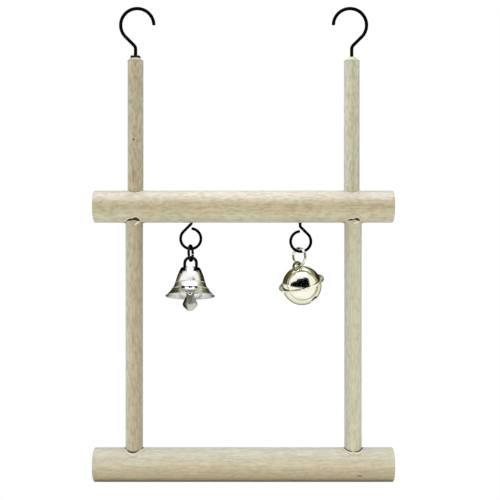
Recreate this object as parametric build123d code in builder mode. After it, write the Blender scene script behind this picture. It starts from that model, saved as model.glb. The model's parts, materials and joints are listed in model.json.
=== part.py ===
from build123d import *
import os
from math import acos, asin, cos, degrees, radians, sin, tan

# Hanging bird swing, in millimetres: two wooden perches joined by dowels, two screw hooks to hang it by,
# and two screw eyes under the upper perch that carry a flared bell and a round jingle bell.
# +X runs along the perches, +Z is up and -Y faces the viewer.
# The origin is midway between the hooks, level with the inside of their crowns.

# Wooden frame
perch_length = 140.6
perch_end_round = 0.6
upper_perch_diameter = 15.2
upper_perch_drop = 92.5
upper_socket_depth = 5.5
lower_perch_diameter = 16.0
lower_perch_drop = 213.9
lower_socket_depth = 8.0
upper_upright_diameter = 7.4
upper_upright_inset = 19.4
upper_upright_drop = 22.5
upright_top_chamfer = 1.5
lower_upright_diameter = 8.2
lower_upright_inset = 18.8
socket_clearance = 0.08

# Screw hooks in the tops of the uprights
hook_wire = 1.6
hook_inner_radius = 7.0
hook_bend_radius = 2.6
hook_offset = 0.8
hook_slope = 45.0
hook_tip_angle = 0.0
hook_screw_length = 12.0

# Screw eyes under the upper perch
eye_wire = 1.35
eye_inner_radius = 4.1
eye_bend_radius = 1.0
eye_offset = -0.3
eye_slope = 45.0
eye_end_gap = 0.3
eye_screw_length = 8.0
left_eye_inset = 45.7
left_eye_neck = 0.0
right_eye_inset = 43.7
right_eye_neck = 1.3
pilot_clearance = 0.06

# Ends of both kinds of screw, as shares of their wire
screw_point_share = 0.4
screw_tip_round_share = 0.2

# Split rings and the play between linked wires
ring_wire = 1.25
ring_split = 0.35
loop_clearance = 0.2
bell_ring_inner_radius = 2.95
bell_ring_turn = 78.0
jingle_ring_inner_radius = 3.4
jingle_ring_turn = -49.0
jingle_ring_lean = 15.0

# Flared bell, tipped so that its mouth faces the viewer a little
bell_tip = 11.0
bell_height = 13.5
bell_crown_margin = 0.6
bell_shoulder_round = 0.6
bell_inner_shoulder_round = 0.25
bell_waist_radius = 7.0
bell_waist_height = 6.4
bell_waist_bulge = 0.25
bell_flare_hollow = 0.55
bell_mouth_radius = 11.5
bell_wall = 0.6
bell_band_radius = 0.24
bell_flare_band = 0.42
hanger_wire = 1.4
hanger_radius = 2.75
hanger_neck = 2.25
hanger_inside = 2.8
hole_clearance = 0.1
wire_end_gap = 0.4

# Clapper: a wire link and the cast drop that swings on it
link_wire = 1.0
link_radius = 1.6
link_length = 9.9
lug_hole_radius = 0.95
lug_wall = 0.85
lug_thickness = 1.0
lug_play = 0.35
drop_neck_radius = 1.95
drop_neck = 1.5
drop_belly_radius = 3.8
drop_belly = 5.5
drop_belly_round = 1.6
drop_tip = 8.1
drop_tip_radius = 1.3
drop_tip_round = 0.9

# Jingle bell: two crimped half shells, its wire shank and the loose pellet
jingle_radius = 9.3
jingle_wall = 0.5
jingle_lean_left = 15.0
jingle_tip_forward = 16.0
jingle_rim_width = 1.6
jingle_rim_rise = 1.0
jingle_rim_sheet = 0.35
jingle_crimp_overlap = 0.85
jingle_crimp_clearance = 0.05
jingle_rim_round = 0.25
jingle_slit_width = 1.6
jingle_slit_half_length = 6.3
jingle_slit_hole_radius = 1.7
shank_wire = 1.1
shank_half_width = 2.15
shank_flat = 0.43
shank_play = 0.3
shank_hang = 0.6
shank_foot_drop = 1.45
shank_foot_reach = 2.0
shank_foot_fall = 0.85
shank_foot_bend = 0.77
pellet_diameter = 5.0
pellet_clearance = 0.2

# Heights and radii that follow from those sizes
hook_radius = hook_inner_radius + hook_wire / 2
eye_radius = eye_inner_radius + eye_wire / 2
bell_ring_radius = bell_ring_inner_radius + ring_wire / 2
jingle_ring_radius = jingle_ring_inner_radius + ring_wire / 2
upper_upright_spacing = perch_length - 2 * upper_upright_inset
lower_upright_spacing = perch_length - 2 * lower_upright_inset
upper_perch_radius = upper_perch_diameter / 2
lower_perch_radius = lower_perch_diameter / 2
upper_perch_top = upper_perch_radius - upper_perch_drop
upper_perch_underside = -upper_perch_radius - upper_perch_drop
lower_perch_top = lower_perch_radius - lower_perch_drop
bell_crown_radius = hanger_radius + hanger_wire / 2 + hole_clearance + bell_wall + bell_crown_margin
sides = ((-1, "left"), (1, "right"))

os.makedirs("parts", exist_ok=True)


def save(piece, name):
    """Label a finished piece and write it under its name."""
    piece.part.label = name
    export_step(piece.part, f"parts/{name}.step")


def upright(frame):
    """The plane through a frame's x and z directions, with its own y along that z."""
    return Plane(frame.origin, x_dir=frame.x_dir, z_dir=frame.y_dir * -1)


def bend_rise(radius, bend, offset, slope):
    """Height of a loop's centre over its shank's bend, with a run of the given slope between them."""
    run_width = (radius + bend) * sin(radians(slope)) - offset - bend
    return (radius + bend) * cos(radians(slope)) + run_width * tan(radians(slope))


def wire_along(path, wire):
    """A round wire swept along a path."""
    with BuildPart() as swept:
        with BuildSketch(Plane(path @ 0, z_dir=path % 0)):
            Circle(wire / 2)
        sweep(path=path)
    return swept


def bent_screw(plane, wire, radius, bend, offset, slope, tip_angle, shank):
    """A wire screw: a loop round the plane's origin, a sloping run, a bend and a pointed shank along -y."""
    rise = bend_rise(radius, bend, offset, slope)
    leave = 270 - slope
    with BuildLine(plane) as centreline:
        loop = CenterArc((offset, 0), radius, tip_angle, leave - tip_angle)
        turn = CenterArc((-bend, -rise), bend, leave - 180, 180 - leave)
        Line(loop @ 1, turn @ 0)
        Line((0, -rise), (0, -rise - shank))
    path = centreline.wire()
    with BuildPart() as screw:
        with BuildSketch(Plane(path @ 0, z_dir=path % 0)):
            Circle(wire / 2)
        sweep(path=path)
        end_faces = screw.faces().filter_by(GeomType.PLANE).sort_by_distance(path @ 1)
        chamfer(end_faces[0].edges(), wire * screw_point_share)
        fillet(end_faces[-1].edges(), wire * screw_tip_round_share)
    return screw


def split_ring(plane, wire, radius, split_angle):
    """A wire ring round the plane's origin with a narrow split at the given angle."""
    split = degrees(ring_split / radius)
    with BuildLine(plane) as centreline:
        CenterArc((0, 0), radius, split_angle + split / 2, 360 - split)
    return wire_along(centreline.wire(), wire)


def wire_link(plane, wire, radius, straight):
    """A long wire link, its upper half circle round the plane's origin, with a gap at one lower corner."""
    end_gap = degrees(wire_end_gap / radius)
    with BuildLine(plane) as centreline:
        Line((radius, -straight), (radius, 0))
        CenterArc((0, 0), radius, 0, 180)
        Line((-radius, 0), (-radius, -straight))
        CenterArc((0, -straight), radius, 180, 180 - end_gap)
    return wire_along(centreline.wire(), wire)


# Perches: round bars with blind sockets for the uprights and pilot holes for the screw eyes
eye_places = (
    (left_eye_inset - perch_length / 2, left_eye_neck),
    (perch_length / 2 - right_eye_inset, right_eye_neck),
)
with BuildPart() as upper_perch:
    with BuildSketch(Plane((-perch_length / 2, 0, -upper_perch_drop), x_dir=(0, 1, 0), z_dir=(1, 0, 0))):
        Circle(upper_perch_radius)
    extrude(amount=perch_length)
    fillet(upper_perch.edges().filter_by(GeomType.CIRCLE), perch_end_round)
    for side, name in sides:
        with Locations(Plane((side * upper_upright_spacing / 2, 0, upper_perch_top))):
            Hole(upper_upright_diameter / 2 + socket_clearance, upper_socket_depth)
        below = (side * lower_upright_spacing / 2, 0, upper_perch_underside)
        with Locations(Plane(below, z_dir=(0, 0, -1))):
            Hole(lower_upright_diameter / 2 + socket_clearance, upper_socket_depth)
    for eye_x, eye_neck in eye_places:
        with Locations(Plane((eye_x, 0, upper_perch_underside), z_dir=(0, 0, -1))):
            Hole(eye_wire / 2 + pilot_clearance, eye_screw_length + pilot_clearance)
save(upper_perch, "upper_perch")

with BuildPart() as lower_perch:
    with BuildSketch(Plane((-perch_length / 2, 0, -lower_perch_drop), x_dir=(0, 1, 0), z_dir=(1, 0, 0))):
        Circle(lower_perch_radius)
    extrude(amount=perch_length)
    fillet(lower_perch.edges().filter_by(GeomType.CIRCLE), perch_end_round)
    for side, name in sides:
        with Locations(Plane((side * lower_upright_spacing / 2, 0, lower_perch_top))):
            Hole(lower_upright_diameter / 2 + socket_clearance, lower_socket_depth)
save(lower_perch, "lower_perch")

# Upper uprights: dowels seated in the upper perch, bevelled at the top, with a pilot hole for the hook
upper_upright_foot = upper_perch_top - upper_socket_depth
upper_upright_length = -upper_upright_drop - upper_upright_foot
for side, name in sides:
    with BuildPart() as upper_upright:
        with BuildSketch(Plane((side * upper_upright_spacing / 2, 0, upper_upright_foot))):
            Circle(upper_upright_diameter / 2)
        extrude(amount=upper_upright_length)
        chamfer(upper_upright.faces().sort_by(Axis.Z)[-1].edges(), upright_top_chamfer)
        with Locations(Plane((side * upper_upright_spacing / 2, 0, -upper_upright_drop))):
            Hole(hook_wire / 2 + pilot_clearance, hook_screw_length + pilot_clearance)
    save(upper_upright, f"upper_upright_{name}")

# Lower uprights: dowels between the floors of the two perches' sockets
lower_upright_foot = lower_perch_top - lower_socket_depth
lower_upright_length = upper_perch_underside + upper_socket_depth - lower_upright_foot
for side, name in sides:
    with BuildPart() as lower_upright:
        with BuildSketch(Plane((side * lower_upright_spacing / 2, 0, lower_upright_foot))):
            Circle(lower_upright_diameter / 2)
        extrude(amount=lower_upright_length)
    save(lower_upright, f"lower_upright_{name}")

# Screw hooks: open wire hooks whose tips point at each other, screwed into the uprights
hook_rise = bend_rise(hook_radius, hook_bend_radius, hook_offset, hook_slope)
hook_shank = upper_upright_drop + hook_screw_length - hook_inner_radius - hook_rise
for side, name in sides:
    hook_origin = (side * upper_upright_spacing / 2, 0, -hook_inner_radius)
    hook_plane = Plane(hook_origin, x_dir=(-side, 0, 0), z_dir=(0, side, 0))
    screw_hook = bent_screw(
        hook_plane, hook_wire, hook_radius, hook_bend_radius, hook_offset, hook_slope,
        hook_tip_angle, hook_shank,
    )
    save(screw_hook, f"screw_hook_{name}")

# Screw eyes: wire loops below the upper perch that close up to their own sloping run, one turned half round
eye_rise = bend_rise(eye_radius, eye_bend_radius, eye_offset, eye_slope)
eye_tip_turn = degrees(acos(1 - (eye_wire + eye_end_gap) / eye_radius))
eye_tip_angle = eye_tip_turn - eye_slope - 90
eye_bottoms = []
for (side, name), (eye_x, eye_neck) in zip(sides, eye_places):
    eye_origin = Vector(eye_x, 0, upper_perch_underside - eye_neck - eye_rise)
    eye_plane = Plane(eye_origin, x_dir=(-side, 0, 0), z_dir=(0, -side, 0))
    eye_shank = eye_neck + eye_screw_length
    screw_eye = bent_screw(
        eye_plane, eye_wire, eye_radius, eye_bend_radius, eye_offset, eye_slope,
        eye_tip_angle, eye_shank,
    )
    save(screw_eye, f"screw_eye_{name}")
    eye_bottoms.append(eye_origin + Vector(-side * eye_offset, 0, -eye_radius))
left_eye_bottom, right_eye_bottom = eye_bottoms
eye_to_ring = eye_wire / 2 + ring_wire / 2 + loop_clearance

# Ring of the flared bell, hung on the left eye
bell_chain = Plane(left_eye_bottom, x_dir=(1, 0, 0), z_dir=(0, tan(radians(bell_tip)), 1))
bell_ring_frame = bell_chain.offset(eye_to_ring - bell_ring_radius).moved(Rotation(0, 0, bell_ring_turn))
bell_ring = split_ring(upright(bell_ring_frame), ring_wire, bell_ring_radius, 0)
save(bell_ring, "bell_ring")

# Hanger of the flared bell: a wire link through two holes in its crown
bell_pivot = bell_ring_frame.offset(-bell_ring_radius)
hanger_rise = ring_wire / 2 + hanger_wire / 2 + loop_clearance
hanger_plane = bell_chain.offset(eye_to_ring - 2 * bell_ring_radius + hanger_rise - hanger_radius)
hanger_straight = hanger_neck + bell_wall + hanger_inside - hanger_radius
bell_hanger = wire_link(upright(hanger_plane), hanger_wire, hanger_radius, hanger_straight)
save(bell_hanger, "bell_hanger")

# Shell of the flared bell
crown = hanger_plane.offset(-hanger_neck)
mouth = crown.offset(-bell_height)
bell_axis = Axis(mouth.origin, mouth.z_dir)


def draw_bell_side(inset, shoulder_round):
    """One face of the bell's wall, from the middle of its crown to its lip. Returns its flare."""
    crown_height = bell_height - inset
    crown_edge = (bell_crown_radius - inset - shoulder_round, crown_height)
    shoulder = (bell_crown_radius - inset, crown_height - shoulder_round)
    waist = (bell_waist_radius - inset, bell_waist_height)
    lip = (bell_mouth_radius - inset, bell_wall / 2)
    Line((0, crown_height), crown_edge)
    RadiusArc(crown_edge, shoulder, shoulder_round)
    SagittaArc(shoulder, waist, bell_waist_bulge)
    return SagittaArc(waist, lip, -bell_flare_hollow)


with BuildPart() as bell_shell:
    with BuildSketch(upright(mouth)):
        with BuildLine():
            flare = draw_bell_side(0, bell_shoulder_round)
            inner_flare = draw_bell_side(bell_wall, bell_inner_shoulder_round)
            SagittaArc(flare @ 1, inner_flare @ 1, bell_wall / 2)
            Line((0, bell_height), (0, bell_height - bell_wall))
        make_face()
        with Locations((bell_waist_radius, bell_waist_height), flare @ bell_flare_band):
            Circle(bell_band_radius)
    revolve(axis=bell_axis)
    with BuildSketch(crown):
        with Locations((-hanger_radius, 0), (hanger_radius, 0)):
            Circle(hanger_wire / 2 + hole_clearance)
    extrude(amount=-2 * bell_wall, mode=Mode.SUBTRACT)
save(bell_shell, "bell_shell")

# Clapper link, hung on the foot of the hanger
hanger_foot = hanger_plane.offset(-hanger_straight - hanger_radius)
link_rise = hanger_wire / 2 + link_wire / 2 + loop_clearance
link_plane = hanger_foot.offset(link_rise - link_radius).moved(Rotation(0, 0, 90))
link_straight = link_length - 2 * link_radius
clapper_link = wire_link(upright(link_plane), link_wire, link_radius, link_straight)
save(clapper_link, "clapper_link")

# Clapper weight: a cast drop below a lug that hangs on the link
weight_pivot = hanger_foot.offset(link_rise - link_length)
lug = weight_pivot.offset(link_wire / 2 + lug_play - lug_hole_radius)
with BuildPart() as clapper_weight:
    with BuildSketch(upright(lug)) as drop_profile:
        with BuildLine():
            Polyline((0, -drop_tip), (0, -drop_neck), (drop_neck_radius, -drop_neck),
                     (drop_belly_radius, -drop_belly), (drop_tip_radius, -drop_tip), (0, -drop_tip))
        make_face()
        fillet(drop_profile.vertices().sort_by(Axis.X)[-1], drop_belly_round)
        tip_corner = drop_profile.vertices().group_by(Axis.Y)[0].sort_by(Axis.X)[-1]
        fillet(tip_corner, drop_tip_round)
    revolve(axis=Axis(lug.origin, lug.z_dir))
    with BuildSketch(upright(lug)):
        Circle(lug_hole_radius + lug_wall)
        with Locations((0, -drop_neck / 2)):
            Rectangle(2 * (lug_hole_radius + lug_wall), drop_neck)
        Circle(lug_hole_radius, mode=Mode.SUBTRACT)
    extrude(amount=lug_thickness / 2, both=True)
save(clapper_weight, "clapper_weight")

# Ring of the jingle bell, hung on the right eye and leaning in its own plane
jingle_chain = Plane(right_eye_bottom).moved(Rotation(0, 0, jingle_ring_turn))
jingle_turned = jingle_chain.moved(Rotation(0, jingle_ring_lean, 0))
jingle_contact = jingle_turned.x_dir.cross(Vector(1, 0, 0)).normalized() * eye_to_ring
jingle_ring_centre = right_eye_bottom + jingle_contact - jingle_turned.z_dir * jingle_ring_radius
jingle_ring_frame = Plane(jingle_ring_centre, x_dir=jingle_turned.x_dir, z_dir=jingle_turned.z_dir)
jingle_ring = split_ring(upright(jingle_ring_frame), ring_wire, jingle_ring_radius, 180)
save(jingle_ring, "jingle_ring")

# Frame of the jingle bell: its pole leans left and towards the viewer
jingle_pivot = jingle_ring_frame.offset(-jingle_ring_radius)
pole = Vector(-tan(radians(jingle_lean_left)), -tan(radians(jingle_tip_forward)), 1).normalized()
pivot_height = jingle_radius + shank_play + ring_wire / 2
across_shank = jingle_pivot.x_dir - pole * jingle_pivot.x_dir.dot(pole)
along_shank = pole.cross(across_shank).normalized()
jingle_centre = jingle_pivot.origin - pole * pivot_height - along_shank * shank_hang
jingle = Plane(jingle_centre, x_dir=across_shank, z_dir=pole)
jingle_axis = Axis(jingle.origin, jingle.z_dir)
jingle_inner_radius = jingle_radius - jingle_wall
jingle_rim_radius = jingle_radius + jingle_rim_width

# Upper half shell: a dome with a flat rim, a little above the middle, and two holes for the shank
rim_top = jingle_rim_rise + jingle_rim_sheet
rim_underside = jingle_rim_rise - jingle_rim_sheet
dome_angle = degrees(asin(rim_top / jingle_radius))
dome_foot = jingle_radius * cos(radians(dome_angle))
inner_angle = degrees(asin(jingle_rim_rise / jingle_inner_radius))
inner_foot = jingle_inner_radius * cos(radians(inner_angle))
crimp_inner_radius = jingle_rim_radius - jingle_rim_sheet
upper_rim_radius = crimp_inner_radius - jingle_crimp_clearance
with BuildPart() as jingle_upper_half:
    with BuildSketch(upright(jingle)):
        with BuildLine():
            CenterArc((0, 0), jingle_radius, dome_angle, 90 - dome_angle)
            Polyline((dome_foot, rim_top), (upper_rim_radius, rim_top),
                     (upper_rim_radius, jingle_rim_rise), (inner_foot, jingle_rim_rise))
            CenterArc((0, 0), jingle_inner_radius, inner_angle, 90 - inner_angle)
            Line((0, jingle_inner_radius), (0, jingle_radius))
        make_face()
    revolve(axis=jingle_axis)
    with BuildSketch(jingle):
        with Locations((0, -shank_half_width), (0, shank_half_width)):
            Circle(shank_wire / 2 + hole_clearance)
    extrude(amount=jingle_radius, mode=Mode.SUBTRACT)
save(jingle_upper_half, "jingle_upper_half")

# Lower half shell: a dome whose rim is folded over the upper one, with a slit between two round holes
crimp_top = rim_top + jingle_rim_sheet
bowl_angle = degrees(asin(rim_underside / jingle_radius))
bowl_rim = jingle_radius * cos(radians(bowl_angle))
crimp_lip_radius = jingle_rim_radius - jingle_crimp_overlap
with BuildPart() as jingle_lower_half:
    with BuildSketch(upright(jingle)):
        with BuildLine():
            CenterArc((0, 0), jingle_radius, -90, 90 + bowl_angle)
            Polyline((bowl_rim, rim_underside), (jingle_rim_radius, rim_underside),
                     (jingle_rim_radius, crimp_top), (crimp_lip_radius, crimp_top),
                     (crimp_lip_radius, rim_top), (crimp_inner_radius, rim_top),
                     (crimp_inner_radius, jingle_rim_rise), (inner_foot, jingle_rim_rise))
            CenterArc((0, 0), jingle_inner_radius, -90, 90 + inner_angle)
            Line((0, -jingle_inner_radius), (0, -jingle_radius))
        make_face()
    revolve(axis=jingle_axis)
    with BuildSketch(jingle):
        Rectangle(2 * jingle_slit_half_length, jingle_slit_width)
        with Locations((-jingle_slit_half_length, 0), (jingle_slit_half_length, 0)):
            Circle(jingle_slit_hole_radius)
    extrude(amount=-jingle_radius, mode=Mode.SUBTRACT)
    rim_edges = jingle_lower_half.edges().filter_by(GeomType.CIRCLE).group_by(SortBy.RADIUS)[-1]
    fillet(rim_edges, jingle_rim_round)
save(jingle_lower_half, "jingle_lower_half")

# Shank of the jingle bell: a wire staple through the dome with its feet spread inside
shank_top = pivot_height + ring_wire / 2 + shank_play + shank_wire / 2
shank_bend = jingle_radius - shank_foot_drop
foot_end = (shank_half_width + shank_foot_reach, shank_bend - shank_foot_fall)
shank_crown_bend = shank_half_width - shank_flat / 2
with BuildLine(Plane(jingle.origin, x_dir=jingle.y_dir, z_dir=jingle.x_dir)) as shank_line:
    FilletPolyline(
        (-foot_end[0], foot_end[1]),
        (-shank_half_width, shank_bend),
        (-shank_half_width, shank_top),
        (shank_half_width, shank_top),
        (shank_half_width, shank_bend),
        foot_end,
        radius=[shank_foot_bend, shank_crown_bend, shank_crown_bend, shank_foot_bend],
    )
jingle_shank = wire_along(shank_line.wire(), shank_wire)
save(jingle_shank, "jingle_shank")

# Pellet: a loose ball lying at the lowest point inside the jingle bell
pellet_radius = pellet_diameter / 2
pellet_drop = jingle_inner_radius - pellet_radius - pellet_clearance
with BuildPart(Plane(jingle.origin - Vector(0, 0, pellet_drop))) as jingle_pellet:
    Sphere(pellet_radius)
save(jingle_pellet, "jingle_pellet")

# Where the hanging pieces turn
pivots = (
    ("bell ring on left eye", left_eye_bottom, Vector(1, 0, 0)),
    ("bell on its ring", bell_pivot.origin, bell_pivot.x_dir),
    ("clapper link on hanger", hanger_foot.origin, hanger_foot.x_dir),
    ("clapper weight on link", weight_pivot.origin, weight_pivot.y_dir),
    ("jingle ring on right eye", right_eye_bottom, Vector(1, 0, 0)),
    ("jingle bell on its ring", jingle_pivot.origin, jingle_pivot.x_dir),
    ("pellet in jingle bell", jingle.origin, jingle.y_dir),
)
for words, place, axis in pivots:
    print(words, [round(value, 4) for value in place], [round(value, 5) for value in axis])
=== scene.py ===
import json
import math

import bmesh
import bpy
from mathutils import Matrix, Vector, noise


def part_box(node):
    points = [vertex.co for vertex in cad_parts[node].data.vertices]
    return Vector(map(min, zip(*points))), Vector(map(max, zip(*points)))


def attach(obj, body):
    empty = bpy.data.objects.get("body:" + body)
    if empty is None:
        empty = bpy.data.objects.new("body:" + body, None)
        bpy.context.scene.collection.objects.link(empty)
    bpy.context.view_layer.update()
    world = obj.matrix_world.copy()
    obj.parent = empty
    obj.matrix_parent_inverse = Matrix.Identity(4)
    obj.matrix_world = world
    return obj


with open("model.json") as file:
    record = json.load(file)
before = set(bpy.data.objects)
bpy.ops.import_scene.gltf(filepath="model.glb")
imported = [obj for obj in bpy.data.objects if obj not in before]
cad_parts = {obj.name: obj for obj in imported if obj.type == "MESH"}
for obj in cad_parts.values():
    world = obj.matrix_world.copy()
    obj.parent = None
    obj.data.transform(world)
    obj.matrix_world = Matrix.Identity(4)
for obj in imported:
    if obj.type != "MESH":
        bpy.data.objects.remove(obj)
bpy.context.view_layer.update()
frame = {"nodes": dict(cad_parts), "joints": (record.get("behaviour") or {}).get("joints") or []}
nodes = frame["nodes"]

# Lengths are in metres
MM = 0.001
SIDES = ("left", "right")


# Node helpers

# Sockets of the colour mix node, whose sockets share their names
MIX_FIRST = 6
MIX_SECOND = 7
MIX_RESULT = 2


def new_material(name):
    """An empty node material, its tree and its output node."""
    material = bpy.data.materials.new(name)
    material.use_nodes = True
    tree = material.node_tree
    tree.nodes.clear()
    output = tree.nodes.new("ShaderNodeOutputMaterial")
    return material, tree, output


def add(tree, kind, **values):
    """A new node with its properties or input sockets set by name."""
    made = tree.nodes.new(kind)
    for key, value in values.items():
        if hasattr(made, key):
            setattr(made, key, value)
        else:
            made.inputs[key.replace("_", " ")].default_value = value
    return made


def math_node(tree, operation, *operands, clamp=False):
    """A Math node; each operand is a number or a socket."""
    made = tree.nodes.new("ShaderNodeMath")
    made.operation = operation
    made.use_clamp = clamp
    for socket, operand in zip(made.inputs, operands):
        if isinstance(operand, (int, float)):
            socket.default_value = operand
        else:
            tree.links.new(operand, socket)
    return made.outputs[0]


def plus(tree, first, second):
    """The sum of two numbers or sockets."""
    return math_node(tree, "ADD", first, second)


def minus(tree, first, second):
    """The difference of two numbers or sockets."""
    return math_node(tree, "SUBTRACT", first, second)


def times(tree, first, second, clamp=False):
    """The product of two numbers or sockets."""
    return math_node(tree, "MULTIPLY", first, second, clamp=clamp)


def spread(tree, value, low, gain):
    """A noise value stretched to run from 0 to 1."""
    return times(tree, minus(tree, value, low), gain, clamp=True)


def fade_in(tree, distance, over):
    """A share that grows from 0 to 1 as a distance grows from 0 to a length."""
    return times(tree, distance, 1 / over, clamp=True)


def split(tree, vector):
    """The sockets of a vector's X, Y and Z, by those names."""
    made = tree.nodes.new("ShaderNodeSeparateXYZ")
    tree.links.new(vector, made.inputs[0])
    return made.outputs


def ramp(tree, factor, stops):
    """A colour ramp over (position, colour) stops."""
    made = tree.nodes.new("ShaderNodeValToRGB")
    elements = made.color_ramp.elements
    while len(elements) < len(stops):
        elements.new(0.5)
    for element, (position, colour) in zip(elements, stops):
        element.position = position
        element.color = (*colour, 1.0)
    tree.links.new(factor, made.inputs["Fac"])
    return made.outputs["Color"]


def mix_colour(tree, factor, first, second, blend="MIX"):
    """A colour mix; the factor is a number or a socket, the colours are sockets or tuples."""
    made = tree.nodes.new("ShaderNodeMix")
    made.data_type = "RGBA"
    made.blend_type = blend
    if isinstance(factor, (int, float)):
        made.inputs["Factor"].default_value = factor
    else:
        tree.links.new(factor, made.inputs["Factor"])
    for index, colour in ((MIX_FIRST, first), (MIX_SECOND, second)):
        if isinstance(colour, tuple):
            made.inputs[index].default_value = (*colour, 1.0)
        else:
            tree.links.new(colour, made.inputs[index])
    return made.outputs[MIX_RESULT]


def stretched_noise(tree, coordinates, scales, detail, roughness=0.55):
    """Noise in coordinates scaled by a different number along each axis."""
    mapping = add(tree, "ShaderNodeMapping", Scale=scales)
    tree.links.new(coordinates, mapping.inputs["Vector"])
    made = add(tree, "ShaderNodeTexNoise", Scale=1.0, Detail=detail, Roughness=roughness)
    tree.links.new(mapping.outputs["Vector"], made.inputs["Vector"])
    return made.outputs["Fac"]


def surface(tree, output, shader, colour, height, strength, distance):
    """Joins a shader to the output, with its base colour and the bump of a height."""
    bump = add(tree, "ShaderNodeBump", Strength=strength, Distance=distance)
    tree.links.new(height, bump.inputs["Height"])
    tree.links.new(bump.outputs["Normal"], shader.inputs["Normal"])
    tree.links.new(colour, shader.inputs["Base Color"])
    tree.links.new(shader.outputs["BSDF"], output.inputs["Surface"])


# Wood: pale, unfinished dowel, with rings round an off-centre pith that give streaks along the side
# and arcs on the ends

WOOD_PALE = (0.640, 0.572, 0.402)
WOOD_MID = (0.540, 0.465, 0.300)
WOOD_DARK = (0.36, 0.295, 0.175)
WARM_GROWTH = (1.015, 0.99, 0.96)
COOL_GROWTH = (0.975, 1.01, 1.015)

# Turns that bring a piece's grain along X
ALONG_X = (0.0, 0.0, 0.0)
ALONG_Z = (0.0, math.radians(90), 0.0)

# The pith's place, off the middle of a piece
PITH_BEHIND = 4.0 * MM
UPPER_PERCH_PITH = -6.5 * MM
LOWER_PERCH_PITH = -9.6 * MM
UPRIGHT_PITH = 90.0 * MM
RING_SPACING = 2.1 * MM
RING_WANDER = 4.5 * MM
RING_SOFTNESS = 0.45

# Noise scales along and across the grain
WAVES = (14.0, 90.0, 90.0)
STREAKS = (24.0, 800.0, 800.0)
BLOTCHES = (60.0, 230.0, 230.0)
HUES = (75.0, 190.0, 160.0)
FIBRES = (150.0, 1700.0, 1700.0)
FLECKS = (330.0, 850.0, 850.0)
PORES = (900.0, 2600.0, 2600.0)

END_GRAIN_SHARPNESS = 6.0
END_GRAIN_SHARE = 0.9
END_GRAIN_EVENNESS = 0.85
END_GRAIN_LEVEL = 1.12
END_RING_SHARE = 0.55
END_PORE_SHARE = 0.35
BAND_DRIFT = 0.12
FIBRE_HEIGHT = 0.7
FLECK_HEIGHT = 0.3
WOOD_ROUGHNESS = 0.40
WOOD_ROUGHNESS_SPREAD = 0.14

# Paler and darker bands across each piece, as (share of the width, tone), partly the wood's own tone and
# partly painted light and shade, with paler tops and edges and a darker underside: from the underside up on a
# perch, from right to left on an upright
GROWTH_AND_PAINTED_LIGHT = {
    "upper_perch": (
        (0.0, (1.13, 1.19, 1.34)), (0.2, (1.22, 1.30, 1.32)), (0.36, (1.07, 1.08, 1.04)),
        (0.52, (1.03, 0.99, 0.91)), (0.66, (1.01, 1.01, 1.07)), (0.72, (1.10, 1.11, 1.33)),
        (1.0, (0.83, 0.89, 1.07)),
    ),
    "lower_perch": (
        (0.0, (0.72, 0.66, 0.50)), (0.13, (0.86, 0.79, 0.63)), (0.28, (0.88, 0.825, 0.79)),
        (0.45, (0.98, 0.96, 0.89)), (0.62, (1.16, 1.19, 1.30)), (1.0, (0.93, 1.01, 1.23)),
    ),
    "upper_upright_left": ((0.0, (0.89, 0.94, 1.04)), (0.45, (0.86, 0.82, 0.78)), (1.0, (1.06, 1.17, 1.25))),
    "lower_upright_left": ((0.0, (0.82, 0.86, 0.91)), (0.5, (1.01, 0.93, 0.90)), (1.0, (1.15, 1.36, 1.60))),
    "upper_upright_right": ((0.0, (1.18, 1.29, 1.51)), (0.48, (0.99, 1.05, 1.04)), (1.0, (1.22, 1.37, 1.73))),
    "lower_upright_right": ((0.0, (1.22, 1.33, 1.65)), (0.5, (1.16, 1.25, 1.28)), (1.0, (1.03, 1.12, 1.36))),
}

# Strength of each piece's flecks and changes of hue
CONTRAST = {
    "upper_perch": 1.25,
    "lower_perch": 0.75,
    "upper_upright_left": 1.6,
    "lower_upright_left": 1.3,
    "upper_upright_right": 1.2,
    "lower_upright_right": 0.9,
}


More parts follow.
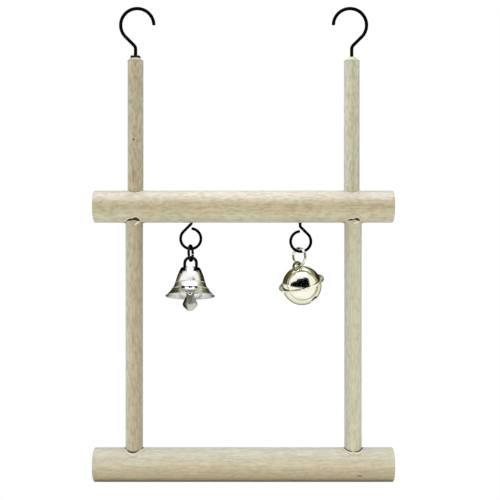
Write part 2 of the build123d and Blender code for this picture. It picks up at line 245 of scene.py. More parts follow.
def wood(node, turn, pith_side, seed):
    """Wood for a perch or an upright, its bands of tone and of painted light and shade set by the node's own
    box.
    """
    low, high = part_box(node)
    if turn == ALONG_X:
        middle, width = (low.z + high.z) / 2, high.z - low.z
    else:
        middle, width = -(low.x + high.x) / 2, high.x - low.x
    tone_and_painted_light = GROWTH_AND_PAINTED_LIGHT[node]
    contrast = CONTRAST[node]
    brightest = max(max(tone) for _, tone in tone_and_painted_light)
    pale, mid, dark = (
        tuple(channel * brightest for channel in tone) for tone in (WOOD_PALE, WOOD_MID, WOOD_DARK))

    material, tree, output = new_material("wood " + node)
    place = add(tree, "ShaderNodeTexCoord")
    turned = add(tree, "ShaderNodeMapping", Rotation=turn, Location=(seed, 0.0, 0.0))
    tree.links.new(place.outputs["Object"], turned.inputs["Vector"])
    grain = turned.outputs["Vector"]
    spot = split(tree, grain)

    from_pith = minus(tree, spot["Y"], PITH_BEHIND)
    above_pith = minus(tree, spot["Z"], middle + pith_side)
    radius = math_node(tree, "SQRT", plus(
        tree, times(tree, from_pith, from_pith), times(tree, above_pith, above_pith)))
    waves = stretched_noise(tree, grain, WAVES, detail=2.0)
    wandering = plus(tree, radius, times(tree, waves, RING_WANDER))
    phase = times(tree, wandering, 2 * math.pi / RING_SPACING)
    rings = math_node(tree, "MULTIPLY_ADD", math_node(tree, "SINE", phase), 0.5, 0.5)

    # Streaks, blotches, fibres and flecks over softened rings
    fibres = stretched_noise(tree, grain, FIBRES, detail=3.0, roughness=0.6)
    flecks = stretched_noise(tree, grain, FLECKS, detail=2.0)
    streaks = stretched_noise(tree, grain, STREAKS, detail=2.0)
    blotches = stretched_noise(tree, grain, BLOTCHES, detail=2.0)
    ringed = ramp(tree, rings, ((0.0, pale), (0.55, mid), (1.0, pale)))
    figure = mix_colour(tree, RING_SOFTNESS, ringed, pale)
    for value, start, gain, share, tone in (
        (streaks, 0.40, 4.0, 0.34, mid),
        (blotches, 0.36, 3.0, 0.42, mid),
        (fibres, 0.40, 3.6, 0.40, dark),
        (flecks, 0.44, 4.5, 0.46 * contrast, dark),
    ):
        figure = mix_colour(tree, times(tree, spread(tree, value, start, gain), share), figure, tone)
    warm, cool = (
        tuple(1 + (channel - 1) * contrast for channel in tone) for tone in (WARM_GROWTH, COOL_GROWTH))
    hues = stretched_noise(tree, grain, HUES, detail=1.0)
    hue = mix_colour(tree, spread(tree, hues, low=0.32, gain=2.8), warm, cool)
    hued = mix_colour(tree, 1.0, figure, hue, "MULTIPLY")

    # End grain where the surface faces along the grain
    turned_normal = add(tree, "ShaderNodeMapping", vector_type="NORMAL", Rotation=turn)
    tree.links.new(place.outputs["Normal"], turned_normal.inputs["Vector"])
    facing = math_node(tree, "ABSOLUTE", split(tree, turned_normal.outputs["Vector"])["X"])
    end_grain = math_node(tree, "POWER", facing, END_GRAIN_SHARPNESS)
    pores = stretched_noise(tree, grain, PORES, detail=2.0)
    late_wood = plus(tree, times(tree, rings, END_RING_SHARE), times(tree, pores, END_PORE_SHARE))
    end_colour = mix_colour(tree, late_wood, mid, dark)
    ended = mix_colour(tree, times(tree, end_grain, END_GRAIN_SHARE), hued, end_colour)

    # Bands across the piece: the wood's own tone with painted light and shade
    level = math_node(tree, "DIVIDE", minus(tree, spot["Z"], middle - width / 2), width)
    drift = times(tree, minus(tree, waves, 0.5), BAND_DRIFT)
    tones = [(position, tuple(channel / brightest for channel in tone)) for position, tone in tone_and_painted_light]
    bands = ramp(tree, plus(tree, level, drift), tones)
    even = END_GRAIN_LEVEL / brightest
    evened = mix_colour(tree, times(tree, end_grain, END_GRAIN_EVENNESS), bands, (even, even, even))
    toned = mix_colour(tree, 1.0, ended, evened, "MULTIPLY")

    height = plus(tree, times(tree, fibres, FIBRE_HEIGHT), times(tree, flecks, FLECK_HEIGHT))
    shader = add(
        tree, "ShaderNodeBsdfPrincipled", Specular_IOR_Level=0.5, Sheen_Weight=0.30, Sheen_Roughness=0.45)
    rough = math_node(tree, "MULTIPLY_ADD", fibres, WOOD_ROUGHNESS_SPREAD, WOOD_ROUGHNESS)
    tree.links.new(rough, shader.inputs["Roughness"])
    surface(tree, output, shader, toned, height, strength=0.35, distance=0.25 * MM)
    return material


# Torn wood fibre, which fades into sound wood by the mesh's own fade value

FADE = "fade"
SOUND_WOOD = (0.54, 0.50, 0.39)
TORN_FIBRES = (1500.0, 3000.0, 3000.0)


def rough_fibre(name, pale, dark):
    """Torn or crushed wood fibre, matt and uneven."""
    material, tree, output = new_material(name)
    place = add(tree, "ShaderNodeTexCoord")
    fibres = stretched_noise(tree, place.outputs["Object"], TORN_FIBRES, detail=3.0)
    fade = add(tree, "ShaderNodeAttribute", attribute_name=FADE)
    uneven = times(tree, fade.outputs["Fac"], plus(tree, fibres, 0.5), clamp=True)
    fibre = mix_colour(tree, fibres, pale, dark)
    colour = mix_colour(tree, uneven, fibre, SOUND_WOOD)
    shader = add(tree, "ShaderNodeBsdfPrincipled", Roughness=0.85, Specular_IOR_Level=0.2)
    surface(tree, output, shader, colour, fibres, strength=0.5, distance=0.2 * MM)
    return material


# Painted shade: dark fibre laid flush round the dowels where the sockets' gaps are in shadow, darker under a
# perch, paler on top
gap_shade = rough_fibre("gap shade", (0.075, 0.058, 0.028), (0.030, 0.023, 0.011))
paler_gap_shade = rough_fibre("paler gap shade", (0.12, 0.092, 0.042), (0.050, 0.038, 0.017))
# Near-black fibre for the crown round the left hook
near_black_fibre = rough_fibre("near-black fibre", (0.016, 0.014, 0.009), (0.006, 0.005, 0.003))
fresh_wood = rough_fibre("fresh wood", (0.98, 0.95, 0.78), (0.92, 0.87, 0.64))
torn_wood = rough_fibre("torn wood", (0.90, 0.85, 0.72), (0.66, 0.59, 0.42))
split_wood = rough_fibre("split wood", (0.98, 0.91, 0.69), (0.80, 0.72, 0.49))
brown_fleck = rough_fibre("brown fleck", (0.28, 0.21, 0.13), (0.16, 0.11, 0.06))
knot_wood = rough_fibre("knot wood", (0.21, 0.15, 0.085), (0.14, 0.10, 0.055))
brown_streak = rough_fibre("brown streak", (0.42, 0.33, 0.19), (0.32, 0.245, 0.13))
grey_fibre = rough_fibre("grey fibre", (0.46, 0.46, 0.33), (0.20, 0.21, 0.13))
pale_fibre = rough_fibre("pale fibre", (0.66, 0.67, 0.55), (0.36, 0.37, 0.28))


# Metals: drawn wire and pressed sheet, with fine scratches and a faint tarnish

TARNISH_CLOUDS = (320.0, 320.0, 320.0)
SCRATCHES = (2600.0, 2600.0, 900.0)
DENT_GAIN = 20
# Black for the painted shade and reflections on the bell and clapper
PAINTED_DARK = (0.008, 0.008, 0.006)
SOFT_EDGE = 1.0 * MM
SOFTER_EDGE = MM / 0.9
pivots = {joint["name"]: Vector(joint["pos_m"]) for joint in frame["joints"]}

# The flared bell's painted shade and reflection, by places below its crown
BELL_TIP = math.radians(11)
BELL_AXIS = Vector((0.0, math.sin(BELL_TIP), math.cos(BELL_TIP)))
CROWN_ABOVE_HANGER_FOOT = 3.4 * MM
BELL_BREAKS = (700.0, 700.0, 700.0)
BELL_RAGGEDNESS = 5.0 * MM
SHOULDER_SHADE_START = 1.0 * MM
SHOULDER_SHADE_DEPTH = 3.0 * MM
CREASE_BELOW_CROWN = 10.35 * MM
CREASE_HALF_WIDTH = 0.75 * MM
CREASE_HALF_LENGTH = 4.4 * MM
CREASE_EDGE = 0.25 * MM
CREASE_BREAKS = (520.0, 260.0, 160.0)
LIP_BELOW_CROWN = 11.2 * MM
LIP_DARKENING = 0.55

# The clapper's painted dark reflection on its left side
CLAPPER_BREAKS = (600.0, 600.0, 600.0)
CLAPPER_RAGGEDNESS = 2.5 * MM
CLAPPER_REFLECTION_START = 0.9 * MM
CLAPPER_REFLECTION_SHARE = 0.92


def bell_painted_shade_and_reflection(tree, spots):
    """Painted shade in black on the bell's shoulders, a painted reflection in black dashes along the crease
    above its flare, and a lip darkened in broken patches.
    """
    crown = pivots["clapper_link_swing"] + BELL_AXIS * CROWN_ABOVE_HANGER_FOOT
    below = add(tree, "ShaderNodeVectorMath", operation="SUBTRACT")
    below.inputs[0].default_value = crown
    tree.links.new(spots, below.inputs[1])
    along = add(tree, "ShaderNodeVectorMath", operation="DOT_PRODUCT")
    tree.links.new(below.outputs["Vector"], along.inputs[0])
    along.inputs[1].default_value = BELL_AXIS
    depth = along.outputs["Value"]
    sideways = math_node(tree, "ABSOLUTE", split(tree, below.outputs["Vector"])["X"])

    broken = stretched_noise(tree, spots, BELL_BREAKS, detail=3.0)
    ragged = times(tree, minus(tree, broken, 0.5), BELL_RAGGEDNESS)
    # Painted shade: black on the shoulders, beside and below the crown
    beside = fade_in(tree, minus(tree, plus(tree, sideways, ragged), SHOULDER_SHADE_START), SOFT_EDGE)
    upper = fade_in(tree, minus(tree, plus(tree, ragged, SHOULDER_SHADE_DEPTH), depth), SOFT_EDGE)

    # Painted reflection of the perch above: broken black dashes along the crease
    off = math_node(tree, "ABSOLUTE", minus(tree, depth, CREASE_BELOW_CROWN))
    crease = fade_in(tree, minus(tree, CREASE_HALF_WIDTH, off), CREASE_EDGE)
    inside = fade_in(tree, minus(tree, CREASE_HALF_LENGTH, sideways), SOFTER_EDGE)
    gaps = spread(tree, stretched_noise(tree, spots, CREASE_BREAKS, detail=2.0), low=0.40, gain=9.0)
    dashes = times(tree, crease, times(tree, inside, gaps))

    # The lip darkened in broken patches
    lip = fade_in(tree, minus(tree, depth, LIP_BELOW_CROWN), SOFT_EDGE)
    darker_lip = times(tree, lip, times(tree, broken, LIP_DARKENING))
    black = math_node(tree, "MAXIMUM", times(tree, beside, upper), dashes)
    return math_node(tree, "MAXIMUM", black, darker_lip)


def clapper_painted_reflection(tree, spots):
    """A painted dark reflection on the left of the clapper's drop."""
    low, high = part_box("clapper_weight")
    leftward = minus(tree, (low.x + high.x) / 2 - CLAPPER_REFLECTION_START, split(tree, spots)["X"])
    broken = stretched_noise(tree, spots, CLAPPER_BREAKS, detail=3.0)
    ragged = times(tree, minus(tree, broken, 0.5), CLAPPER_RAGGEDNESS)
    return times(tree, fade_in(tree, plus(tree, leftward, ragged), SOFTER_EDGE), CLAPPER_REFLECTION_SHARE)


def metal(name, colour, tarnish, roughness, edge, scratch=0.10, dents=0.0, bumps=0.06, painted_dark_mask=None):
    """A plated metal with uneven polish, and the tint of its reflections at a grazing angle."""
    material, tree, output = new_material(name)
    spots = add(tree, "ShaderNodeTexCoord").outputs["Object"]
    cloud = stretched_noise(tree, spots, TARNISH_CLOUDS, detail=3.0)
    fine = stretched_noise(tree, spots, SCRATCHES, detail=2.0)
    base = mix_colour(tree, spread(tree, cloud, low=0.48, gain=2.4), colour, tarnish)
    # Painted shade and reflection mixed into the colour, where a material has them
    if painted_dark_mask:
        base = mix_colour(tree, painted_dark_mask(tree, spots), base, PAINTED_DARK)
    shader = add(tree, "ShaderNodeBsdfPrincipled", Metallic=1.0, Specular_Tint=(*edge, 1.0))
    tree.links.new(math_node(tree, "MULTIPLY_ADD", fine, scratch, roughness), shader.inputs["Roughness"])
    height = plus(tree, fine, times(tree, cloud, dents * DENT_GAIN))
    surface(tree, output, shader, base, height, strength=bumps + dents, distance=0.1 * MM)
    return material


GREY_EDGE = (0.05, 0.05, 0.05)
dark_steel = metal(
    "dark steel", (0.007, 0.007, 0.0065), (0.004, 0.004, 0.003), 0.26, (0.03, 0.03, 0.03), bumps=0.015)
nickel = metal(
    "nickel plate", (0.92, 0.92, 0.90), (0.80, 0.80, 0.76), 0.15, GREY_EDGE, scratch=0.08, painted_dark_mask=bell_painted_shade_and_reflection)
brass = metal("brass plate", (0.95, 0.94, 0.80), (0.88, 0.85, 0.64), 0.10, (0.14, 0.12, 0.02), scratch=0.08)
# Brass darkened as painted shade on the jingle's shank
shank_shade_brass = metal("shank shade brass", (0.20, 0.19, 0.11), (0.08, 0.075, 0.04), 0.16, (0.05, 0.05, 0.02))
cast_metal = metal(
    "cast metal", (0.72, 0.72, 0.65), (0.50, 0.50, 0.44), 0.48, GREY_EDGE, scratch=0.14, dents=0.03,
    painted_dark_mask=clapper_painted_reflection)
steel = metal("steel", (0.030, 0.030, 0.028), (0.012, 0.011, 0.010), 0.16, (0.08, 0.08, 0.08))

# The CAD nodes' materials

looks = {
    "upper_perch": wood("upper_perch", ALONG_X, UPPER_PERCH_PITH, seed=0.3),
    "lower_perch": wood("lower_perch", ALONG_X, LOWER_PERCH_PITH, seed=0.9),
    "bell_ring": steel,
    "bell_shell": nickel,
    "bell_hanger": steel,
    "clapper_link": steel,
    "clapper_weight": cast_metal,
    "jingle_ring": brass,
    "jingle_shank": shank_shade_brass,
    "jingle_upper_half": brass,
    "jingle_lower_half": brass,
    "jingle_pellet": steel,
}
for number, side in enumerate(SIDES):
    for level, dowel in enumerate(("upper_upright_", "lower_upright_")):
        seed = 1.7 + 0.9 * number + 0.31 * level
        looks[dowel + side] = wood(dowel + side, ALONG_Z, UPRIGHT_PITH, seed)
    looks["screw_hook_" + side] = dark_steel
    looks["screw_eye_" + side] = dark_steel
for name, material in looks.items():
    nodes[name].data.materials.clear()
    nodes[name].data.materials.append(material)


# Torn wood at the sockets and dowel tops, and small marks on the wood

RING_STEPS = 120
MARK_STEPS = 12
SUNK = -0.30 * MM
SEAM = 0.06 * MM
PROUD = 0.05 * MM
FLUSH = 0.01 * MM
MARK_LIFT = 0.02 * MM
LOWEST_CREST = 0.03 * MM
GAP_UNDER_DOWEL = 0.15 * MM
BACK_SHARE = 0.35
RIDGE_SHARE = 0.4
RIM_FADES = (0.0, 0.0, 0.3, 1.0, 1.0)
SPLINTER_LIFT = 0.20 * MM
SPLINTER_THICKNESS = 0.36 * MM
BEVEL_SKIN = 0.25 * MM


class Dowel:
    """A round upright's place, from its node's box."""

    def __init__(self, node):
        low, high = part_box(node)
        self.middle = (low + high) / 2
        self.top = Vector((self.middle.x, self.middle.y, high.z))
        self.radius = (high.x - low.x) / 2


class Perch:
    """A perch's round surface, to lay pieces on."""

    def __init__(self, node):
        low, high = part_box(node)
        self.height = (low.z + high.z) / 2
        self.radius = (high.z - low.z) / 2

    def on(self, x, y, way, lift):
        """The point of the surface above (way 1) or below (way -1) a place, lifted along its normal."""
        rise = math.sqrt(max(self.radius ** 2 - y ** 2, 0.0))
        normal = Vector((0.0, y, way * rise)) / self.radius
        return Vector((x, y, self.height + way * rise)) + normal * lift


def mesh_piece(name, shape, material, smooth=True):
    """A finished mesh as a wooden piece that rides on the frame."""
    bmesh.ops.recalc_face_normals(shape, faces=shape.faces)
    mesh = bpy.data.meshes.new(name)
    shape.to_mesh(mesh)
    shape.free()
    for face in mesh.polygons:
        face.use_smooth = smooth
    mesh.materials.append(material)
    piece = bpy.data.objects.new(name, mesh)
    bpy.context.scene.collection.objects.link(piece)
    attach(piece, "frame")


def join(shape, ring, following):
    """Faces between two rings of as many points."""
    for index in range(len(ring)):
        after = (index + 1) % len(ring)
        shape.faces.new((ring[index], ring[after], following[after], following[index]))


def closed_band(sections, fades=None):
    """A closed band through closed sections, the last joined to the first."""
    shape = bmesh.new()
    layer = shape.verts.layers.float.new(FADE)
    rings = [[shape.verts.new(point) for point in section] for section in sections]
    if fades:
        for ring in rings:
            for vertex, fade in zip(ring, fades):
                vertex[layer] = fade
    for ring, following in zip(rings, rings[1:] + rings[:1]):
        join(shape, ring, following)
    return shape


def directions():
    """Angles round the upright axis, each with its direction."""
    for step in range(RING_STEPS):
        angle = 2 * math.pi * step / RING_STEPS
        yield angle, Vector((math.cos(angle), math.sin(angle), 0.0))


def jag(across, scale, seed):
    """Unevenness in a direction."""
    return noise.noise(Vector((across.x * scale, across.y * scale, seed)))


def upward(length):
    """A vector straight up."""
    return Vector((0.0, 0.0, length))


def gap_depth(angle, lenses):
    """How far the painted shade of a torn gap reaches out at an angle, from lenses of (middle, half width,
    depth), in degrees.
    """
    deepest = 0.0
    for middle, half, depth in lenses:
        share = abs((math.degrees(angle) - middle + 180) % 360 - 180) / half
        deepest = max(deepest, depth * (1 - share ** 2))
    return deepest


def socket_rim(name, perch, dowel, way, lenses, torn, crest, rag, seed):
    """A dark band of painted shade round a dowel where its torn gap is, and the pale raised fibres outside
    it.
    """
    gap_sections = []
    rim_sections = []
    inner = dowel.radius - GAP_UNDER_DOWEL
    for angle, across in directions():
        broad = jag(across, 5.0, seed)
        fine = jag(across, 17.0, seed + 3.0)
        reach_share = 1.0
        if way > 0:
            reach_share = BACK_SHARE + (1 - BACK_SHARE) * max(0.0, -across.y) ** 2
        gap_edge = dowel.radius + SEAM + gap_depth(angle, lenses) * (1.0 + rag * 0.5 * fine)
        torn_width = torn * reach_share * (1.0 + rag * broad + rag * 0.6 * fine)
        raised = max(LOWEST_CREST, crest * reach_share * (1.0 + 0.8 * broad + 0.8 * fine))
        start = gap_edge - PROUD
        between = (inner + gap_edge) / 2
        ridge = gap_edge + torn_width * RIDGE_SHARE
        end = gap_edge + torn_width
        gap = ((inner, SUNK), (inner, PROUD), (between, PROUD), (gap_edge, PROUD), (gap_edge, SUNK))
        rim = ((start, SUNK), (start, raised * 0.6), (ridge, raised), (end, FLUSH), (end, SUNK))
        for sections, outline in ((gap_sections, gap), (rim_sections, rim)):
            sections.append([
                perch.on(dowel.middle.x + across.x * reach, across.y * reach, way, lift)
                for reach, lift in outline])
    # Painted shade for the gap: paler on a perch's top, darker underneath
    gap_shading, rim_wood = (paler_gap_shade, torn_wood) if way > 0 else (gap_shade, split_wood)
    mesh_piece(name + "_gap", closed_band(gap_sections), gap_shading)
    mesh_piece(name + "_torn_rim", closed_band(rim_sections, RIM_FADES), rim_wood)


def sliver(shape, points, width):
    """A pointed splinter through four points, flat towards the front."""
    along = points[-1] - points[0]
    flat = Vector((0.0, 1.0, 0.0)).cross(along).normalized()
    thick = along.cross(flat).normalized()
    corners = (flat * width, thick * SPLINTER_THICKNESS, flat * -width, thick * -SPLINTER_THICKNESS)
    rings = []
    for centre, swell in zip(points, (0.7, 1.0, 0.6)):
        rings.append([shape.verts.new(centre + corner * (swell / 2)) for corner in corners])
    tip = shape.verts.new(points[-1])
    shape.faces.new(rings[0][::-1])
    for ring, following in zip(rings, rings[1:]):
        join(shape, ring, following)
    last = rings[-1]
    for corner, after in zip(last, last[1:] + last[:1]):
        shape.faces.new((corner, after, tip))


def dowel_splinters(name, dowel, foot, places):
    """Splinters round the front of a dowel.

    Each place is (start x, start height, end x, end height, width), in millimetres.
    """
    shape = bmesh.new()
    for start_x, start_height, end_x, end_height, width in places:
        points = []
        for share in (0.0, 0.35, 0.7, 1.0):
            x = (start_x + (end_x - start_x) * share) * MM
            height = (start_height + (end_height - start_height) * share) * MM
            front = -math.sqrt((dowel.radius + SPLINTER_LIFT) ** 2 - x ** 2)
            points.append(Vector((dowel.middle.x + x, front, foot + height)))
        sliver(shape, points, width * MM)
    mesh_piece(name, shape, fresh_wood, smooth=False)


def surface_mark(name, at, length, width, material):
    """A small mark along the grain, flush with the wood; at(along, across, lift) gives its points."""
    shape = bmesh.new()
    rings = []
    for step in range(1, MARK_STEPS):
        share = 2 * step / MARK_STEPS - 1
        half = width / 2 * (1 - share ** 2)
        outline = [(half * column / 2, MARK_LIFT) for column in range(-2, 3)]
        outline = [(-half, SUNK), *outline, (half, SUNK)]
        rings.append([shape.verts.new(at(share * length / 2, across, lift)) for across, lift in outline])
    for ring, following in zip(rings, rings[1:]):
        join(shape, ring, following)
    shape.faces.new(rings[0][::-1])
    shape.faces.new(rings[-1])
    mesh_piece(name, shape, material)


def perch_mark(name, perch, x, height, length, width, material):
    """A mark on the front of a perch, at a height above its middle."""
    def at(along, across, lift):
        angle = math.asin((height + across) / perch.radius)
        reach = perch.radius + lift
        return x + along, -math.cos(angle) * reach, perch.height + math.sin(angle) * reach

    surface_mark(name, at, length, width, material)


def dowel_mark(name, dowel, offset, z, length, width, material):
    """A mark on the front of an upright, off its middle line."""
    def at(along, across, lift):
        angle = math.asin((offset + across) / dowel.radius)
        reach = dowel.radius + lift
        return dowel.middle.x + math.sin(angle) * reach, -math.cos(angle) * reach, z + along

    surface_mark(name, at, length, width, material)


def ragged_crown(name, dowel, outer, height, lowest, seed, material):
    """Fibres pushed up round a screw hook where it enters the top of its dowel."""
    inner = 0.9 * MM
    sections = []
    for _, across in directions():
        broad = jag(across, 3.1, seed)
        fine = jag(across, 9.0, seed + 5.0)
        top = max(lowest, height * (0.65 + 0.5 * broad + 0.7 * fine))
        sections.append([dowel.top + across * reach + upward(rise) for reach, rise in (
            (inner, -0.2 * MM), (inner + 0.1 * MM, top * 0.6), (outer - 0.4 * MM, top),
            (outer, top * 0.5), (outer, -0.6 * MM))])
    mesh_piece(name, closed_band(sections), material, smooth=False)


def bevel_tear(name, dowel, seed, material):
    """A ragged rim of bruised fibre along the lower edge of a dowel's bevelled top."""
    bevel = 1.5 * MM
    top_radius = 2.2 * MM
    radius = dowel.radius
    edge = dowel.top - upward(bevel)
    sections = []
    for _, across in directions():
        broad = jag(across, 2.3, seed)
        fine = jag(across, 8.0, seed + 2.0)
        lift = max(0.0, 0.5 + 0.9 * broad + 0.7 * fine) * 0.14 * MM
        drop = upward(-(0.15 + 0.30 * max(0.0, fine + broad)) * MM)
        rise = min(1.0, 0.50 + 0.9 * max(0.0, broad - fine)) * bevel
        slope = (across * (top_radius - radius) + upward(bevel)).normalized()
        outward = (across * bevel + upward(radius - top_radius)).normalized()
        sections.append((
            edge + across * (radius - BEVEL_SKIN) + drop,
            edge + across * (radius + 0.2 * lift) + drop,
            edge + across * (radius + lift * 0.6) + outward * (lift * 0.4),
            edge + across * radius + slope * rise + outward * (0.2 * lift),
            edge + across * (radius - BEVEL_SKIN) + slope * rise - outward * (0.2 * MM),
        ))
    mesh_piece(name, closed_band(sections), material, smooth=False)


# Each socket: perch, dowel, way, lenses of its painted gap shade, torn width, crest and raggedness
SOCKETS = {
    "left": (
        ("upper", "upper_upright_", 1, ((-90, 75, 0.28 * MM),), 1.00 * MM, 0.05 * MM, 0.35),
        ("upper", "lower_upright_", -1, (
            (-158, 18, 0.6 * MM), (-106, 36, 1.15 * MM), (-72, 30, 1.7 * MM), (-20, 16, 0.7 * MM),
        ), 0.85 * MM, 0.22 * MM, 0.45),
        ("lower", "lower_upright_", 1, (
            (-168, 26, 0.5 * MM), (-95, 50, 0.85 * MM), (-12, 26, 0.5 * MM),
        ), 1.50 * MM, 0.06 * MM, 0.35),
    ),
    "right": (
        ("upper", "upper_upright_", 1, ((-100, 60, 0.30 * MM),), 1.00 * MM, 0.05 * MM, 0.35),
        ("upper", "lower_upright_", -1, (
            (-158, 18, 0.6 * MM), (-112, 24, 1.1 * MM), (-72, 26, 1.5 * MM), (-18, 14, 0.6 * MM),
        ), 0.85 * MM, 0.22 * MM, 0.45),
        ("lower", "lower_upright_", 1, (
            (-160, 26, 0.5 * MM), (-130, 34, 0.55 * MM), (-52, 40, 0.7 * MM), (-14, 26, 0.6 * MM),
        ), 1.50 * MM, 0.06 * MM, 0.35),
    ),
}
SPLINTERS = {
    "left": (
        (2.6, 0.55, 0.5, -1.35, 1.1),
        (3.5, 0.75, 1.5, -0.15, 0.6),
        (-3.0, 0.45, -1.4, 0.30, 0.5),
    ),
    "right": (
        (3.3, 1.00, -0.7, -0.80, 1.05),
        (1.0, 1.30, -0.5, 0.55, 0.40),
        (-3.4, 0.35, -1.6, 0.85, 0.5),
    ),
}
perches = {"upper": Perch("upper_perch"), "lower": Perch("lower_perch")}
upper_underside = perches["upper"].height - perches["upper"].radius
for side, seed in zip(SIDES, (2.0, 9.0)):
    for level, dowel, way, lenses, torn, crest, rag in SOCKETS[side]:
        face = "top" if way > 0 else "underside"
        name = f"{level}_{face}_{side}"
        socket_rim(name, perches[level], Dowel(dowel + side), way, lenses, torn, crest, rag, seed)
    name = f"upper_underside_{side}_splinters"
    dowel_splinters(name, Dowel("lower_upright_" + side), upper_underside, SPLINTERS[side])

left_dowel = Dowel("upper_upright_left")
right_dowel = Dowel("upper_upright_right")
perch_mark(
    "lower_perch_fleck", perches["lower"], x=53.9 * MM, height=-3.7 * MM,
    length=3.2 * MM, width=0.75 * MM, material=brown_fleck)
dowel_mark(
    "upper_upright_left_knot", left_dowel, offset=-0.5 * MM, z=-61.3 * MM,
    length=1.3 * MM, width=1.1 * MM, material=knot_wood)
dowel_mark(
    "upper_upright_left_streak", left_dowel, offset=-0.7 * MM, z=-77.2 * MM,
    length=9.0 * MM, width=0.8 * MM, material=brown_streak)
ragged_crown(
    "hook_crown_left", left_dowel, outer=2.4 * MM, height=1.25 * MM, lowest=0.5 * MM,
    seed=4.0, material=near_black_fibre)
ragged_crown(
    "hook_crown_right", right_dowel, outer=2.0 * MM, height=0.5 * MM, lowest=0.1 * MM,
    seed=9.0, material=pale_fibre)
bevel_tear("bevel_tear_left", left_dowel, seed=3.0, material=grey_fibre)
bevel_tear("bevel_tear_right", right_dowel, seed=8.0, material=pale_fibre)


# Stage: a pale floor below the hanging toy, a white world, soft light from above and in front

MIDDLE = Vector((0.0030, 0.0, -0.1129))
WHITE = (1.0, 1.0, 1.0)
BLACK = (0.0, 0.0, 0.0)


def area_light(name, place, size, power, colour):
    """A square soft box aimed at the middle of the toy."""
    lamp = bpy.data.lights.new(name, "AREA")
    lamp.size = size
    lamp.energy = power
    lamp.color = colour
    holder = bpy.data.objects.new(name, lamp)
    holder.location = place
    holder.rotation_euler = (MIDDLE - Vector(place)).to_track_quat("-Z", "Y").to_euler()
    bpy.context.scene.collection.objects.link(holder)
    return holder


area_light("top", (0.0, 0.0, 0.40), size=0.45, power=2.6, colour=(0.93, 0.97, 1.0))
front_light = area_light("front", (-0.12, -0.80, 0.05), size=0.60, power=2.0, colour=WHITE)
front_light.visible_glossy = False


def card(name, corners, colour):
    """A card of one plain tone that the camera doesn't see."""
    material, tree, output = new_material(name)
    shader = add(tree, "ShaderNodeEmission", Color=(*colour, 1.0), Strength=1.0)
    tree.links.new(shader.outputs["Emission"], output.inputs["Surface"])
    mesh = bpy.data.meshes.new(name)
    mesh.from_pydata(corners, [], [(0, 1, 2, 3)])
    mesh.materials.append(material)
    made = bpy.data.objects.new(name, mesh)
    made.visible_camera = False
    bpy.context.scene.collection.objects.link(made)
    return made


def standing_card(name, first, second, low, high, colour):
    """A card over the line between two places, which only shows in the reflections of polished metal."""
    made = card(name, [(*first, low), (*second, low), (*second, high), (*first, high)], colour)
    made.visible_diffuse = False
    made.visible_shadow = False


# Black cards in front, each from its left end to its right, up to its own height
FRONT_Y = -0.20
FRONT_LOW = -0.17
for name, left, right, high in (
    ("front card left", -0.70, -0.118, 0.0),
    ("front card middle", -0.118, 0.068, 0.058),
    ("front card right", 0.068, 0.22, 0.117),
):
    standing_card(name, (left, FRONT_Y), (right, FRONT_Y), FRONT_LOW, high, BLACK)

# Olive flags behind, at both sides: the ends of the line each stands on, then its heights
FLAG_NEAR = (0.49, 0.09)
FLAG_FAR = (0.13, 0.48)
FLAG_LOW = -0.115
FLAG_SPLIT = 0.12
FLAG_HIGH = 0.37
for side, way, lower, upper in (
    ("left", -1, (0.08, 0.08, 0.045), (0.11, 0.11, 0.050)),
    ("right", 1, (0.03, 0.03, 0.021), (0.25, 0.25, 0.115)),
):
    near = (way * FLAG_NEAR[0], FLAG_NEAR[1])
    far = (way * FLAG_FAR[0], FLAG_FAR[1])
    standing_card(side + " lower flag", near, far, FLAG_LOW, FLAG_SPLIT, lower)
    standing_card(side + " upper flag", near, far, FLAG_SPLIT, FLAG_HIGH, upper)

# Shade close under the lower perch
SHADE_GAP = 0.6 * MM
SHADE_DEPTH = 6.6 * MM
perch_low, perch_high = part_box("lower_perch")
shade_height = perch_low.z - SHADE_GAP
card("shade under lower perch", [
    (perch_low.x, -SHADE_DEPTH, shade_height), (perch_high.x, -SHADE_DEPTH, shade_height),
    (perch_high.x, SHADE_DEPTH, shade_height), (perch_low.x, SHADE_DEPTH, shade_height)], BLACK)

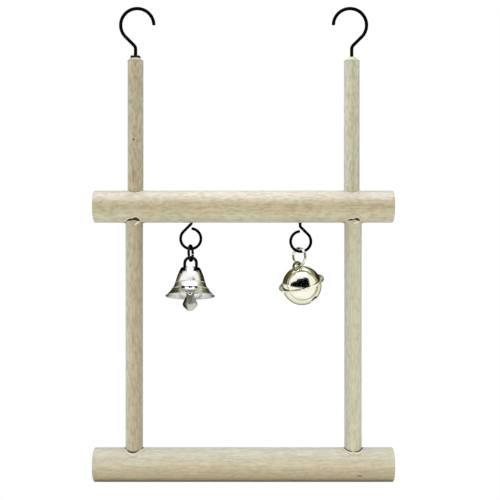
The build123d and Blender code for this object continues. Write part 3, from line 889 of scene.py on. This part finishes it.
# World: soft light on the toy, and plain white where it is seen, mirrored or looked through
AMBIENT_STRENGTH = 0.62
world = bpy.data.worlds.new("studio")
bpy.context.scene.world = world
world.use_nodes = True
world_tree = world.node_tree
world_tree.nodes.clear()
world_output = world_tree.nodes.new("ShaderNodeOutputWorld")
path = world_tree.nodes.new("ShaderNodeLightPath")
seen = math_node(world_tree, "MAXIMUM", path.outputs["Is Camera Ray"], path.outputs["Is Glossy Ray"])
seen = math_node(world_tree, "MAXIMUM", seen, path.outputs["Is Transmission Ray"])
ambient = add(world_tree, "ShaderNodeBackground", Color=(*WHITE, 1.0), Strength=AMBIENT_STRENGTH)
backdrop = add(world_tree, "ShaderNodeBackground", Color=(*WHITE, 1.0), Strength=1.0)
chosen = world_tree.nodes.new("ShaderNodeMixShader")
world_tree.links.new(seen, chosen.inputs[0])
world_tree.links.new(ambient.outputs[0], chosen.inputs[1])
world_tree.links.new(backdrop.outputs[0], chosen.inputs[2])
world_tree.links.new(chosen.outputs[0], world_output.inputs["Surface"])

# Floor: a pale disc
FLOOR_RADIUS = 0.2
FLOOR_HEIGHT = -0.31
floor_mesh = bpy.data.meshes.new("floor")
floor_shape = bmesh.new()
bmesh.ops.create_circle(floor_shape, cap_ends=True, segments=96, radius=FLOOR_RADIUS)
floor_shape.to_mesh(floor_mesh)
floor_shape.free()
floor = bpy.data.objects.new("floor", floor_mesh)
floor.location = (0.0, 0.0, FLOOR_HEIGHT)
bpy.context.scene.collection.objects.link(floor)
floor_material, floor_tree, floor_output = new_material("pale floor")
floor_shader = add(floor_tree, "ShaderNodeBsdfPrincipled", Base_Color=(0.9, 0.9, 0.89, 1.0), Roughness=0.8)
floor_tree.links.new(floor_shader.outputs["BSDF"], floor_output.inputs["Surface"])
floor_mesh.materials.append(floor_material)

# Camera: straight at the front of the toy
CAMERA_DISTANCE = 0.45
FRAME_WIDTH = 0.2355
SENSOR_WIDTH = 36.0
camera_data = bpy.data.cameras.new("camera")
camera_data.sensor_width = SENSOR_WIDTH
camera_data.lens = SENSOR_WIDTH * CAMERA_DISTANCE / FRAME_WIDTH
camera = bpy.data.objects.new("camera", camera_data)
camera.location = MIDDLE + Vector((0.0, -CAMERA_DISTANCE, 0.0))
camera.rotation_euler = (math.radians(90), 0.0, 0.0)
bpy.context.scene.collection.objects.link(camera)
bpy.context.scene.camera = camera
bpy.context.scene.view_settings.view_transform = "Standard"
